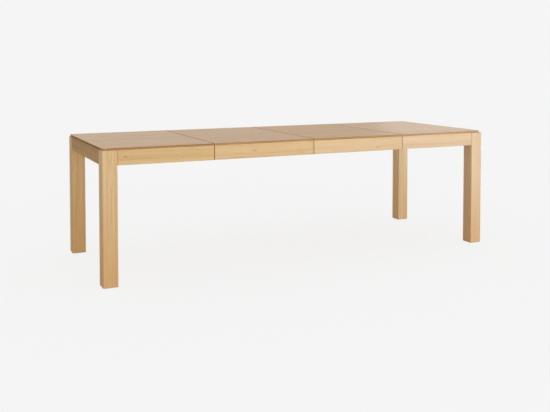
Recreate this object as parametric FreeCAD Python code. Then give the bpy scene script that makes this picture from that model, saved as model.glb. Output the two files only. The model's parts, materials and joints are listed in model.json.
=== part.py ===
# Extending dining table, drawn out with both lift-in leaves in place. Sizes are in millimetres.
# The origin is on the floor under the middle of the table, X runs along the table and Z is up.
import FreeCAD
import Part
import math
import os

os.makedirs("parts", exist_ok=True)

# Whole table
TABLE_HEIGHT = 770.0
TABLE_WIDTH = 950.0
HALF_LENGTH = 650.0
LEAF_LENGTH = 650.0

# Top boards, with a 45 degree undercut below their outer edges
TOP_THICKNESS = 12.0
TOP_CORNER_RADIUS = 42.0
TOP_BEVEL = 8.5
TOP_EASE = 1.0
TOP_SEAM = 2.0

# Legs and the glides under them
LEG_SIDE = 85.0
LEG_EDGE_RADIUS = 4.0
LEG_CORNER_RADIUS = 8.0
LEG_FOOT_CHAMFER = 2.0
LEG_NOTCH = 14.0
GLIDE_RADIUS = 18.0
GLIDE_THICKNESS = 3.0
GLIDE_PIN_RADIUS = 2.5
GLIDE_PIN_LENGTH = 20.0

# Aprons of the halves and skirts of the leaves
APRON_HEIGHT = 84.0
APRON_THICKNESS = 22.0
APRON_SETBACK = 2.0
APRON_EASE = 1.5
APRON_SEAM = 2.0

# Square battens between apron and top, and the deeper battens along the seams
BATTEN_SIDE = 18.0
BATTEN_END_GAP = 10.0
SEAM_BATTEN_WIDTH = 40.0
SEAM_BATTEN_HEIGHT = 40.0
SEAM_BATTEN_SETBACK = 10.0
SEAM_BATTEN_LANE_GAP = 18.2

# Corner blocks and the two bolts that hold each leg
BLOCK_THICKNESS = 22.0
BLOCK_HEIGHT = 66.0
BLOCK_DROP = 6.0
BLOCK_GAP = 4.0
BOLT_RADIUS = 4.0
BOLT_DEPTH = 40.0
BOLT_SPREAD = 18.0
BOLT_TAIL = 3.0
BOLT_FIT = 0.05
BLOCK_BORE_FIT = 0.4
WASHER_RADIUS = 9.0
WASHER_THICKNESS = 1.6
NUT_ACROSS_FLATS = 13.0
NUT_HEIGHT = 6.5

# Telescoping runners: each half carries one beside each centre runner
RUNNER_WIDTH = 24.0
RUNNER_HEIGHT = 50.0
RUNNER_LEG_GAP = 110.0
RUNNER_SIDE_GAP = 0.8
RUNNER_TOP_GAP = 0.5
RUNNER_END_GAP = 2.0
RUNNER_INNER_END = 170.0
RUNNER_SCREW_SHIFT = 5.0
CENTRE_RUNNER_REACH = 600.0
SLIDE_TRAVEL = 40.0
TONGUE_ROOT_HALF = 6.0
TONGUE_TIP_HALF = 9.0
TONGUE_DEPTH = 10.0
TONGUE_FIT = 0.35
TONGUE_END_FIT = 0.5
STOP_PLATE_THICKNESS = 2.5
STOP_SCREW_RISE = 17.0
TIE_X = 320.0
TIE_WIDTH = 60.0
TIE_THICKNESS = 18.0
TIE_SCREW_SPREAD = 15.0

# Pegs that locate a leaf on the centre runners
PEG_RADIUS = 5.0
PEG_DEPTH = 8.0
PEG_DROP = 9.0
PEG_SPREAD = 200.0
PEG_FIT = 0.02
SOCKET_FIT = 0.5
SOCKET_ROOM = 1.5

# Latches that draw neighbouring boards together under the seams
LATCH_INSET = 75.0
LATCH_THICKNESS = 3.0
LATCH_HALF_WIDTH = 10.0
LATCH_PLAY = 0.3
LATCH_TAB_REACH = 32.0
LATCH_TAB_HALF = 8.0
LATCH_TAB_DROP = 10.0
LATCH_SLOT_FIT = 0.4
STUD_RADIUS = 3.0
STUD_FIT = 0.05
STUD_DEPTH = 25.0
STUD_HEAD_RADIUS = 6.0
STUD_HEAD_HEIGHT = 3.0
KEEPER_ROOM = 2.7

# Countersunk wood screws
SCREW_RADIUS = 2.0
SCREW_HEAD_RADIUS = 4.0
SCREW_HEAD_HEIGHT = 2.5
SCREW_FIT = 0.05
SCREW_BITE = 8.0
SCREW_MARGIN = 40.0
SCREW_STAGGER = 30.0
SCREWS_PER_ROW = 3

# Places worked out from the sizes above
FRAME_TOP = TABLE_HEIGHT - TOP_THICKNESS
APRON_BOTTOM = FRAME_TOP - APRON_HEIGHT
END_X = HALF_LENGTH + LEAF_LENGTH
SIDE_Y = TABLE_WIDTH / 2
SEAM_X = LEAF_LENGTH
LEG_IN_X = END_X - LEG_SIDE
LEG_IN_Y = SIDE_Y - LEG_SIDE
APRON_OUT_X = END_X - APRON_SETBACK
APRON_OUT_Y = SIDE_Y - APRON_SETBACK
APRON_IN_X = APRON_OUT_X - APRON_THICKNESS
APRON_IN_Y = APRON_OUT_Y - APRON_THICKNESS
BATTEN_IN_X = APRON_IN_X - BATTEN_SIDE
BATTEN_IN_Y = APRON_IN_Y - BATTEN_SIDE
BATTEN_BOTTOM = FRAME_TOP - BATTEN_SIDE
SEAM_BATTEN_BOTTOM = FRAME_TOP - SEAM_BATTEN_HEIGHT
RUNNER_Y = LEG_IN_Y - RUNNER_LEG_GAP
LANE_PITCH = RUNNER_WIDTH + RUNNER_SIDE_GAP
SEAM_BATTEN_REACH = RUNNER_Y - LANE_PITCH - RUNNER_WIDTH / 2 - SEAM_BATTEN_LANE_GAP
RUNNER_OUTER_END = BATTEN_IN_X - RUNNER_END_GAP
RUNNER_BOTTOM = FRAME_TOP - RUNNER_HEIGHT
CENTRE_RUNNER_TOP = FRAME_TOP - RUNNER_TOP_GAP
CENTRE_RUNNER_BOTTOM = CENTRE_RUNNER_TOP - RUNNER_HEIGHT
TONGUE_Z = CENTRE_RUNNER_TOP - RUNNER_HEIGHT / 2
TONGUE_INNER_END = RUNNER_INNER_END + SLIDE_TRAVEL + TONGUE_END_FIT
LATCH_Y = SEAM_BATTEN_REACH - LATCH_INSET
LATCH_PIVOT_SETBACK = SEAM_BATTEN_SETBACK + SEAM_BATTEN_WIDTH / 2
LATCH_REACH = 2 * LATCH_PIVOT_SETBACK
LATCH_BOTTOM = SEAM_BATTEN_BOTTOM - LATCH_PLAY - LATCH_THICKNESS

# Sums of the two plan distances from the middle, which place what lies square to a corner's diagonal
DIAGONAL = math.sqrt(2)
NOTCH_SUM = LEG_IN_X + LEG_IN_Y + LEG_NOTCH
BLOCK_NEAR_SUM = NOTCH_SUM - BLOCK_GAP * DIAGONAL
BLOCK_FAR_SUM = BLOCK_NEAR_SUM - BLOCK_THICKNESS * DIAGONAL

UP = FreeCAD.Vector(0, 0, 1)
EDGE_TOLERANCE = 0.001
SIDES = {-1: "left", 1: "right"}
DEPTHS = {-1: "front", 1: "rear"}
HEX_CORNERS = 6
QUARTER_TURN = 90.0

pieces = {}
holes = {}


def span_box(xs, ys, zs):
    """A box between two places along each axis."""
    low = FreeCAD.Vector(min(xs), min(ys), min(zs))
    return Part.makeBox(abs(xs[1] - xs[0]), abs(ys[1] - ys[0]), abs(zs[1] - zs[0]), low)


def prism(points, low, high):
    """A plan outline raised from one height to another."""
    corners = [FreeCAD.Vector(x, y, low) for x, y in points]
    return Part.Face(Part.makePolygon(corners + corners[:1])).extrude(UP * (high - low))


def rod(start, direction, radius, length):
    """A round bar from a start point."""
    return Part.makeCylinder(radius, length, FreeCAD.Vector(*start), FreeCAD.Vector(*direction))


def screw(head, direction, length, fit=0.0):
    """A countersunk screw, or with a fit the hole that takes it."""
    start = FreeCAD.Vector(*head)
    axis = FreeCAD.Vector(*direction)
    cone = Part.makeCone(SCREW_HEAD_RADIUS + fit, SCREW_RADIUS + fit, SCREW_HEAD_HEIGHT, start, axis)
    return cone.fuse(Part.makeCylinder(SCREW_RADIUS + fit, length + fit, start, axis)).removeSplitter()


def add(node, solid):
    """Adds one solid to a named piece."""
    pieces.setdefault(node, []).append(solid)


def drill(node, tool):
    """Notes a hole to be cut in a named piece."""
    holes.setdefault(node, []).append(tool)


def drive_screws(group, through, heads, direction, length):
    """Adds screws to a group and drills the pieces they pass through."""
    for head in heads:
        add(group, screw(head, direction, length))
        for node in through:
            drill(node, screw(head, direction, length, SCREW_FIT))


def spaced(low, high, count=SCREWS_PER_ROW):
    """Places at even steps, a margin in from both ends."""
    first = min(low, high) + SCREW_MARGIN
    last = max(low, high) - SCREW_MARGIN
    return [first + (last - first) * k / (count - 1) for k in range(count)]


def edges_at(shape, height):
    """The edges of a shape that lie flat at one height."""
    boxes = [(edge, edge.BoundBox) for edge in shape.Edges]
    return [edge for edge, box in boxes
            if abs(box.ZMin - height) < EDGE_TOLERANCE and abs(box.ZMax - height) < EDGE_TOLERANCE]


def upright_edges(shape, xs, ys=None):
    """The vertical edges of a shape that stand at one of the given distances along X, and along Y if given."""
    boxes = [(edge, edge.BoundBox) for edge in shape.Edges]
    return [edge for edge, box in boxes
            if box.XLength < EDGE_TOLERANCE and box.YLength < EDGE_TOLERANCE
            and any(abs(box.XMin - x) < EDGE_TOLERANCE for x in xs)
            and (ys is None or any(abs(box.YMin - y) < EDGE_TOLERANCE for y in ys))]


def is_seam(edge):
    """Whether an edge lies along a seam instead of the table's outside."""
    box = edge.BoundBox
    return box.XLength < EDGE_TOLERANCE and abs(abs(box.XMin) - END_X) > EDGE_TOLERANCE


def top_board(x_low, x_high):
    """A top board: outer corners rounded, outer edges undercut, upper arris eased."""
    board = span_box((x_low, x_high), (-SIDE_Y, SIDE_Y), (FRAME_TOP, TABLE_HEIGHT))
    corners = upright_edges(board, (-END_X, END_X))
    if corners:
        board = board.makeFillet(TOP_CORNER_RADIUS, corners)
    outer = [edge for edge in edges_at(board, FRAME_TOP) if not is_seam(edge)]
    board = board.makeChamfer(TOP_BEVEL, outer)
    return board.makeFillet(TOP_EASE, edges_at(board, TABLE_HEIGHT))


def apron(xs, ys):
    """An apron or skirt board with its lower arrises eased."""
    board = span_box(xs, ys, (APRON_BOTTOM, FRAME_TOP))
    along_x = abs(xs[1] - xs[0]) > abs(ys[1] - ys[0])
    lower = edges_at(board, APRON_BOTTOM)
    long_edges = [edge for edge in lower
                  if (edge.BoundBox.XLength > edge.BoundBox.YLength) == along_x]
    return board.makeFillet(APRON_EASE, long_edges)


def corner_point(sx, sy, plan_sum, height):
    """The point on a corner's diagonal, through the leg's inner corner, with a given plan sum."""
    offset = LEG_IN_X - LEG_IN_Y
    return (sx * (plan_sum + offset) / 2, sy * (plan_sum - offset) / 2, height)


def leg(sx, sy):
    """A square leg, rounder at its outer corner, notched at its inner upper corner for the bolts."""
    inner = (sx * LEG_IN_X, sy * LEG_IN_Y)
    outer = (sx * END_X, sy * SIDE_Y)
    body = span_box((inner[0], outer[0]), (inner[1], outer[1]), (GLIDE_THICKNESS, FRAME_TOP))
    eased = upright_edges(body, (inner[0],)) + upright_edges(body, (outer[0],), (inner[1],))
    body = body.makeFillet(LEG_EDGE_RADIUS, eased)
    body = body.makeFillet(LEG_CORNER_RADIUS, upright_edges(body, (outer[0],), (outer[1],)))
    body = body.makeChamfer(LEG_FOOT_CHAMFER, edges_at(body, GLIDE_THICKNESS))
    across = (inner[0] + sx * LEG_NOTCH, inner[1])
    along = (inner[0], inner[1] + sy * LEG_NOTCH)
    return body.cut(prism([inner, across, along], APRON_BOTTOM, FRAME_TOP))


def hex_nut(start, direction):
    """A plain hexagon nut standing on a start point."""
    radius = NUT_ACROSS_FLATS / math.sqrt(3)
    turns = [math.tau * k / HEX_CORNERS for k in range(HEX_CORNERS)]
    body = prism([(radius * math.cos(t), radius * math.sin(t)) for t in turns], 0, NUT_HEIGHT)
    body = body.cut(Part.makeCylinder(BOLT_RADIUS + BOLT_FIT, NUT_HEIGHT))
    axis = FreeCAD.Vector(*direction)
    body.Placement = FreeCAD.Placement(FreeCAD.Vector(*start), FreeCAD.Rotation(UP, axis))
    return body


def add_corner(sx, sy):
    """A leg with its glide, its corner block and the bolts, washers and nuts between them."""
    side = SIDES[sx]
    leg_node = f"{side}_{DEPTHS[sy]}_leg"
    block_node = f"{side}_corner_blocks"
    bolt_node = f"{side}_leg_bolts"
    add(leg_node, leg(sx, sy))

    middle = (sx * (END_X - LEG_SIDE / 2), sy * (SIDE_Y - LEG_SIDE / 2))
    pin_top = GLIDE_THICKNESS + GLIDE_PIN_LENGTH
    disc = rod((*middle, 0), UP, GLIDE_RADIUS, GLIDE_THICKNESS)
    add(f"{side}_foot_glides", disc.fuse(rod((*middle, 0), UP, GLIDE_PIN_RADIUS, pin_top)).removeSplitter())
    drill(leg_node, rod((*middle, 0), UP, GLIDE_PIN_RADIUS + BOLT_FIT, pin_top + BOLT_FIT))

    block_top = FRAME_TOP - BLOCK_DROP
    outline = [(sx * (BLOCK_NEAR_SUM - APRON_IN_Y), sy * APRON_IN_Y),
               (sx * (BLOCK_FAR_SUM - APRON_IN_Y), sy * APRON_IN_Y),
               (sx * APRON_IN_X, sy * (BLOCK_FAR_SUM - APRON_IN_X)),
               (sx * APRON_IN_X, sy * (BLOCK_NEAR_SUM - APRON_IN_X))]
    add(block_node, prism(outline, block_top - BLOCK_HEIGHT, block_top))

    outward = (sx / DIAGONAL, sy / DIAGONAL, 0)
    washer_sum = BLOCK_FAR_SUM - WASHER_THICKNESS * DIAGONAL
    nut_sum = washer_sum - NUT_HEIGHT * DIAGONAL
    tail_sum = nut_sum - BOLT_TAIL * DIAGONAL
    length = (NOTCH_SUM - tail_sum) / DIAGONAL + BOLT_DEPTH
    for rise in (-BOLT_SPREAD, BOLT_SPREAD):
        height = block_top - BLOCK_HEIGHT / 2 + rise
        tail = corner_point(sx, sy, tail_sum, height)
        bore = rod(tail, outward, BOLT_RADIUS + BOLT_FIT, length + BOLT_FIT)
        add(bolt_node, rod(tail, outward, BOLT_RADIUS, length))
        washer = rod(corner_point(sx, sy, washer_sum, height), outward, WASHER_RADIUS, WASHER_THICKNESS)
        add(bolt_node, washer.cut(bore))
        add(bolt_node, hex_nut(corner_point(sx, sy, nut_sum, height), outward))
        drill(leg_node, bore)
        drill(block_node, rod(tail, outward, BOLT_RADIUS + BLOCK_BORE_FIT, length))


def add_side_batten(node, group, top_node, board_node, xs, sy):
    """A square batten screwed up into the top and out into a front or rear board."""
    add(node, span_box(xs, (sy * BATTEN_IN_Y, sy * APRON_IN_Y), (BATTEN_BOTTOM, FRAME_TOP)))
    middle_y = sy * (BATTEN_IN_Y + APRON_IN_Y) / 2
    middle_z = BATTEN_BOTTOM + BATTEN_SIDE / 2
    places = spaced(*xs)
    drive_screws(group, (node, top_node), [(x, middle_y, BATTEN_BOTTOM) for x in places],
                 UP, BATTEN_SIDE + SCREW_BITE)
    drive_screws(group, (node, board_node),
                 [(x + SCREW_STAGGER, sy * BATTEN_IN_Y, middle_z) for x in places],
                 (0, sy, 0), BATTEN_SIDE + SCREW_BITE)


def add_seam_batten(node, group, top_node, seam, sx):
    """A deep batten under a top beside a seam, on the side that sx names."""
    xs = (seam + sx * SEAM_BATTEN_SETBACK, seam + sx * (SEAM_BATTEN_SETBACK + SEAM_BATTEN_WIDTH))
    add(node, span_box(xs, (-SEAM_BATTEN_REACH, SEAM_BATTEN_REACH), (SEAM_BATTEN_BOTTOM, FRAME_TOP)))
    heads = [(sum(xs) / 2, y, SEAM_BATTEN_BOTTOM) for y in spaced(-SEAM_BATTEN_REACH, SEAM_BATTEN_REACH)]
    drive_screws(group, (node, top_node), heads, UP, SEAM_BATTEN_HEIGHT + SCREW_BITE)


def add_stud(node, batten_node, x, y, head_top):
    """A headed stud standing up into a seam batten."""
    base = head_top - STUD_HEAD_HEIGHT
    length = SEAM_BATTEN_BOTTOM + STUD_DEPTH - base
    head = rod((x, y, base), UP, STUD_HEAD_RADIUS, STUD_HEAD_HEIGHT)
    add(node, head.fuse(rod((x, y, base), UP, STUD_RADIUS, length)).removeSplitter())
    drill(batten_node, rod((x, y, base), UP, STUD_RADIUS + STUD_FIT, length + STUD_FIT))


def latch_lever(x, sy):
    """A swinging hook, drawn closed along X round its pivot and then swung open along the batten."""
    arm = span_box((0, LATCH_REACH), (-LATCH_HALF_WIDTH, LATCH_HALF_WIDTH), (0, LATCH_THICKNESS))
    ends = [rod((at, 0, 0), UP, LATCH_HALF_WIDTH, LATCH_THICKNESS) for at in (0, LATCH_REACH)]
    tab = span_box((-LATCH_TAB_REACH, 0), (-LATCH_TAB_HALF, LATCH_TAB_HALF), (0, LATCH_THICKNESS))
    grip = span_box((-LATCH_TAB_REACH, LATCH_THICKNESS - LATCH_TAB_REACH), (-LATCH_TAB_HALF, LATCH_TAB_HALF),
                    (-LATCH_TAB_DROP, LATCH_THICKNESS))
    body = arm.fuse([*ends, tab, grip]).removeSplitter()
    slot_half = STUD_RADIUS + LATCH_SLOT_FIT
    ring = rod((0, 0, 0), UP, LATCH_REACH + slot_half, LATCH_THICKNESS)
    ring = ring.cut(rod((0, 0, 0), UP, LATCH_REACH - slot_half, LATCH_THICKNESS))
    mouth = ring.common(span_box((0, 2 * LATCH_REACH), (0, -sy * LATCH_REACH), (0, LATCH_THICKNESS)))
    pivot_hole = rod((0, 0, 0), UP, STUD_RADIUS + STUD_FIT, LATCH_THICKNESS)
    seat = rod((LATCH_REACH, 0, 0), UP, slot_half, LATCH_THICKNESS)
    body = body.cut([pivot_hole, seat, mouth]).Solids[0]
    body.rotate(FreeCAD.Vector(0, 0, 0), UP, sy * QUARTER_TURN)
    body.translate(FreeCAD.Vector(x, sy * LATCH_Y, LATCH_BOTTOM))
    return body


def add_latches(owner, pivot_node, batten_node, seam):
    """The two latches that an owner carries on the left of a seam, and their pivot studs."""
    x = seam - LATCH_PIVOT_SETBACK
    for sy, depth in DEPTHS.items():
        add(f"{owner}_{depth}_latch", latch_lever(x, sy))
        add_stud(pivot_node, batten_node, x, sy * LATCH_Y, LATCH_BOTTOM - LATCH_PLAY)


def add_keepers(node, batten_node, seam):
    """The two keeper studs on the right of a seam."""
    for sy in DEPTHS:
        add_stud(node, batten_node, seam + LATCH_PIVOT_SETBACK, sy * LATCH_Y, LATCH_BOTTOM - KEEPER_ROOM)


def dovetail(sx, sy, xs, fit=0.0):
    """A dovetail tongue on the side of a centre runner, or with a fit the groove that takes it."""
    root = RUNNER_Y - sx * RUNNER_WIDTH / 2
    tip = root - sx * (TONGUE_DEPTH + fit)
    outline = [(root, -TONGUE_ROOT_HALF - fit), (root, TONGUE_ROOT_HALF + fit),
               (tip, TONGUE_TIP_HALF + fit), (tip, -TONGUE_TIP_HALF - fit)]
    corners = [FreeCAD.Vector(min(xs), sy * y, TONGUE_Z + z) for y, z in outline]
    length = FreeCAD.Vector(abs(xs[1] - xs[0]), 0, 0)
    return Part.Face(Part.makePolygon(corners + corners[:1])).extrude(length)


def add_runner(sx, sy):
    """A half's runner with its groove, its end stop and the screws that hang it from the top."""
    side = SIDES[sx]
    node = f"{side}_{DEPTHS[sy]}_runner"
    group = f"{side}_screws"
    lane = RUNNER_Y - sx * LANE_PITCH
    ys = (sy * (lane - RUNNER_WIDTH / 2), sy * (lane + RUNNER_WIDTH / 2))
    zs = (RUNNER_BOTTOM, FRAME_TOP)
    xs = (sx * RUNNER_INNER_END, sx * RUNNER_OUTER_END)
    add(node, span_box(xs, ys, zs).cut(dovetail(sx, sy, xs, TONGUE_FIT)))

    stop_node = f"{side}_runner_stops"
    stop_face = sx * (RUNNER_INNER_END - STOP_PLATE_THICKNESS)
    screw_y = sy * (lane - sx * RUNNER_SCREW_SHIFT)
    add(stop_node, span_box((stop_face, xs[0]), ys, zs))
    stop_heads = [(stop_face, screw_y, TONGUE_Z + rise) for rise in (-STOP_SCREW_RISE, STOP_SCREW_RISE)]
    drive_screws(group, (stop_node, node), stop_heads, (sx, 0, 0), STOP_PLATE_THICKNESS + 2 * SCREW_BITE)

    under_top = spaced(sx * (SEAM_X + SEAM_BATTEN_SETBACK), xs[1])
    drive_screws(group, (node, f"{side}_top"), [(x, screw_y, RUNNER_BOTTOM) for x in under_top],
                 UP, RUNNER_HEIGHT + SCREW_BITE)


def add_half(sx):
    """One fixed half: top, legs, aprons, battens and the runners under it."""
    side = SIDES[sx]
    top_node = f"{side}_top"
    group = f"{side}_screws"
    add(top_node, top_board(sx * (SEAM_X + TOP_SEAM / 2), sx * END_X))

    end_apron = f"{side}_end_apron"
    add(end_apron, apron((sx * APRON_IN_X, sx * APRON_OUT_X), (-LEG_IN_Y, LEG_IN_Y)))
    battens = f"{side}_apron_battens"
    block_end_x = BLOCK_FAR_SUM - APRON_IN_Y
    block_end_y = BLOCK_FAR_SUM - APRON_IN_X
    for sy, depth in DEPTHS.items():
        side_apron = f"{side}_{depth}_apron"
        add(side_apron, apron((sx * (SEAM_X + APRON_SEAM / 2), sx * LEG_IN_X),
                              (sy * APRON_IN_Y, sy * APRON_OUT_Y)))
        add_corner(sx, sy)
        add_runner(sx, sy)
        xs = (sx * (SEAM_X + BATTEN_END_GAP), sx * (block_end_x - BATTEN_END_GAP))
        add_side_batten(battens, group, top_node, side_apron, xs, sy)

    reach = block_end_y - BATTEN_END_GAP
    add(battens, span_box((sx * BATTEN_IN_X, sx * APRON_IN_X), (-reach, reach), (BATTEN_BOTTOM, FRAME_TOP)))
    middle_x = sx * (BATTEN_IN_X + APRON_IN_X) / 2
    middle_z = BATTEN_BOTTOM + BATTEN_SIDE / 2
    places = spaced(-reach, reach)
    drive_screws(group, (battens, top_node), [(middle_x, y, BATTEN_BOTTOM) for y in places],
                 UP, BATTEN_SIDE + SCREW_BITE)
    drive_screws(group, (battens, end_apron), [(sx * BATTEN_IN_X, y + SCREW_STAGGER, middle_z) for y in places],
                 (sx, 0, 0), BATTEN_SIDE + SCREW_BITE)
    add_seam_batten(f"{side}_seam_batten", group, top_node, sx * SEAM_X, sx)


def add_leaf(number, x_low, x_high):
    """One lift-in leaf: top, skirts, battens, locating pegs and latch studs."""
    leaf = f"leaf_{number}"
    top_node = f"{leaf}_top"
    group = f"{leaf}_screws"
    skirt_battens = f"{leaf}_skirt_battens"
    seam_battens = f"{leaf}_seam_battens"
    add(top_node, top_board(x_low + TOP_SEAM / 2, x_high - TOP_SEAM / 2))
    for sy, depth in DEPTHS.items():
        skirt = f"{leaf}_{depth}_skirt"
        add(skirt, apron((x_low + APRON_SEAM / 2, x_high - APRON_SEAM / 2), (sy * APRON_IN_Y, sy * APRON_OUT_Y)))
        xs = (x_low + BATTEN_END_GAP, x_high - BATTEN_END_GAP)
        add_side_batten(skirt_battens, group, top_node, skirt, xs, sy)
        for shift in (-PEG_SPREAD, PEG_SPREAD):
            foot = ((x_low + x_high) / 2 + shift, sy * RUNNER_Y, FRAME_TOP - PEG_DROP)
            add(f"{leaf}_pegs", rod(foot, UP, PEG_RADIUS, PEG_DROP + PEG_DEPTH))
            drill(top_node, rod(foot, UP, PEG_RADIUS + PEG_FIT, PEG_DROP + PEG_DEPTH + PEG_FIT))
            floor = (foot[0], foot[1], foot[2] - SOCKET_ROOM)
            drill(f"centre_{depth}_runner", rod(floor, UP, PEG_RADIUS + SOCKET_FIT, PEG_DROP + SOCKET_ROOM))
    add_seam_batten(seam_battens, group, top_node, x_low, 1)
    add_seam_batten(seam_battens, group, top_node, x_high, -1)
    add_keepers(f"{leaf}_latch_studs", seam_battens, x_low)
    add_latches(leaf, f"{leaf}_latch_studs", seam_battens, x_high)


def add_carriage():
    """The two centre runners, their dovetail tongues and the ties between them."""
    for sy, depth in DEPTHS.items():
        node = f"centre_{depth}_runner"
        ys = (sy * (RUNNER_Y - RUNNER_WIDTH / 2), sy * (RUNNER_Y + RUNNER_WIDTH / 2))
        add(node, span_box((-CENTRE_RUNNER_REACH, CENTRE_RUNNER_REACH), ys,
                           (CENTRE_RUNNER_BOTTOM, CENTRE_RUNNER_TOP)))
        for sx in SIDES:
            xs = (sx * CENTRE_RUNNER_REACH, sx * TONGUE_INNER_END)
            add("runner_tongues", dovetail(sx, sy, xs))
            tip = sy * (RUNNER_Y - sx * (RUNNER_WIDTH / 2 + TONGUE_DEPTH))
            drive_screws("carriage_screws", ("runner_tongues", node), [(x, tip, TONGUE_Z) for x in spaced(*xs)],
                         (0, sx * sy, 0), TONGUE_DEPTH + SCREW_BITE)
    reach = RUNNER_Y + RUNNER_WIDTH / 2
    tie_bottom = CENTRE_RUNNER_BOTTOM - TIE_THICKNESS
    for sx in SIDES:
        xs = (sx * TIE_X - TIE_WIDTH / 2, sx * TIE_X + TIE_WIDTH / 2)
        add("runner_ties", span_box(xs, (-reach, reach), (tie_bottom, CENTRE_RUNNER_BOTTOM)))
        for sy, depth in DEPTHS.items():
            heads = [(sx * TIE_X + shift, sy * RUNNER_Y, tie_bottom)
                     for shift in (-TIE_SCREW_SPREAD, TIE_SCREW_SPREAD)]
            drive_screws("carriage_screws", ("runner_ties", f"centre_{depth}_runner"), heads,
                         UP, TIE_THICKNESS + SCREW_BITE)


def drilled(solid, tools):
    """A solid with the holes that reach it cut away."""
    near = [tool for tool in tools if tool.BoundBox.intersect(solid.BoundBox)]
    return solid.cut(near).Solids[0] if near else solid


add_carriage()
add_half(-1)
add_half(1)
add_leaf(1, -SEAM_X, 0)
add_leaf(2, 0, SEAM_X)
add_latches("left", "left_latch_pivots", "left_seam_batten", -SEAM_X)
add_keepers("right_latch_keepers", "right_seam_batten", SEAM_X)

for name, solids in pieces.items():
    finished = [drilled(solid, holes.get(name, [])) for solid in solids]
    shape = finished[0] if len(finished) == 1 else Part.makeCompound(finished)
    shape.exportStep(f"parts/{name}.step")
    print(name, len(finished), "solids", "valid" if shape.isValid() else "NOT VALID")
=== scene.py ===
# %% [markdown]
# # An oak extending table, from bare boards to a finished surface
# The construction model gives every board, runner and screw its place and size. This lesson adds what
# the model can't hold: the figure of the oak, the satin lacquer, the plain beech underneath, the zinc
# on the fittings and the small turned and threaded parts. The first step loads the model. Nothing
# added later may stand outside that box.

import json
import math

import bpy
import numpy as np
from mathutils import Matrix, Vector


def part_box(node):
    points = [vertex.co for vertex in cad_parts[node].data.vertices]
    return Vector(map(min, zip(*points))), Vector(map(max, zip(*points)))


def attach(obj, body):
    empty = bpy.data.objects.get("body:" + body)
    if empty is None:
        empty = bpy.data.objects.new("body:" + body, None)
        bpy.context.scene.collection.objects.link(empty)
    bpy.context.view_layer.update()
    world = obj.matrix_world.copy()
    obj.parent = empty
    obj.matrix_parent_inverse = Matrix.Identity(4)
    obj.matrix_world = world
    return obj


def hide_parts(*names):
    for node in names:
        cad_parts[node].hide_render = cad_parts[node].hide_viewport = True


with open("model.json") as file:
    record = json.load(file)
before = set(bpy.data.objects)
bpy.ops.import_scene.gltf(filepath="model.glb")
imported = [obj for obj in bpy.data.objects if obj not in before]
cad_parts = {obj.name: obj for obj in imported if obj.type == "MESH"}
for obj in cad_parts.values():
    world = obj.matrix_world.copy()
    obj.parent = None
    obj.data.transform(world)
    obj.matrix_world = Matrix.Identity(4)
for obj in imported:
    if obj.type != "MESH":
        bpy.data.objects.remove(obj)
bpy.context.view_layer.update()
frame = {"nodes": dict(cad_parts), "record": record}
nodes = frame["nodes"]

# %% [markdown]
# ## The camera
# The table is seen from its left front corner, a little above the top. A photograph that is cropped
# out of a larger one has its optical axis away from the middle of the frame, and Blender says this with
# a lens shift. The focal length is given in pixels of the 550 by 412 frame, because that is how it is
# found from the table's own straight edges.

# %% Place the camera
FRAME_WIDE = 550
FRAME_HIGH = 412
FOCAL_PIXELS = 772.1
AXIS_ROW = 95.0
SENSOR_WIDTH = 36.0
CAMERA_PLACE = (-2.2321, -4.6317, 1.237)
CAMERA_YAW = 0.442
CAMERA_PITCH = 0.0423

camera_data = bpy.data.cameras.new("camera")
camera_data.sensor_width = SENSOR_WIDTH
camera_data.lens = SENSOR_WIDTH * FOCAL_PIXELS / FRAME_WIDE
camera_data.shift_y = (AXIS_ROW - FRAME_HIGH / 2) / FRAME_WIDE
camera = bpy.data.objects.new("camera", camera_data)
camera.location = CAMERA_PLACE
camera.rotation_euler = (math.pi / 2 - CAMERA_PITCH, 0, -CAMERA_YAW)
scene = bpy.context.scene
scene.collection.objects.link(camera)
scene.camera = camera
scene.view_settings.view_transform = "Standard"
print("lens", round(camera_data.lens, 2), "mm, shift", round(camera_data.shift_y, 3))

# %% [markdown]
# ## A few short words for shader nodes
# A procedural finish is a small sum written in nodes. Blender's own calls for making and linking nodes
# are long, so a helper gives each kind of step one short word: a value can be a number or the output
# of an earlier step, and every word hands back the output that the next step uses.

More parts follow.
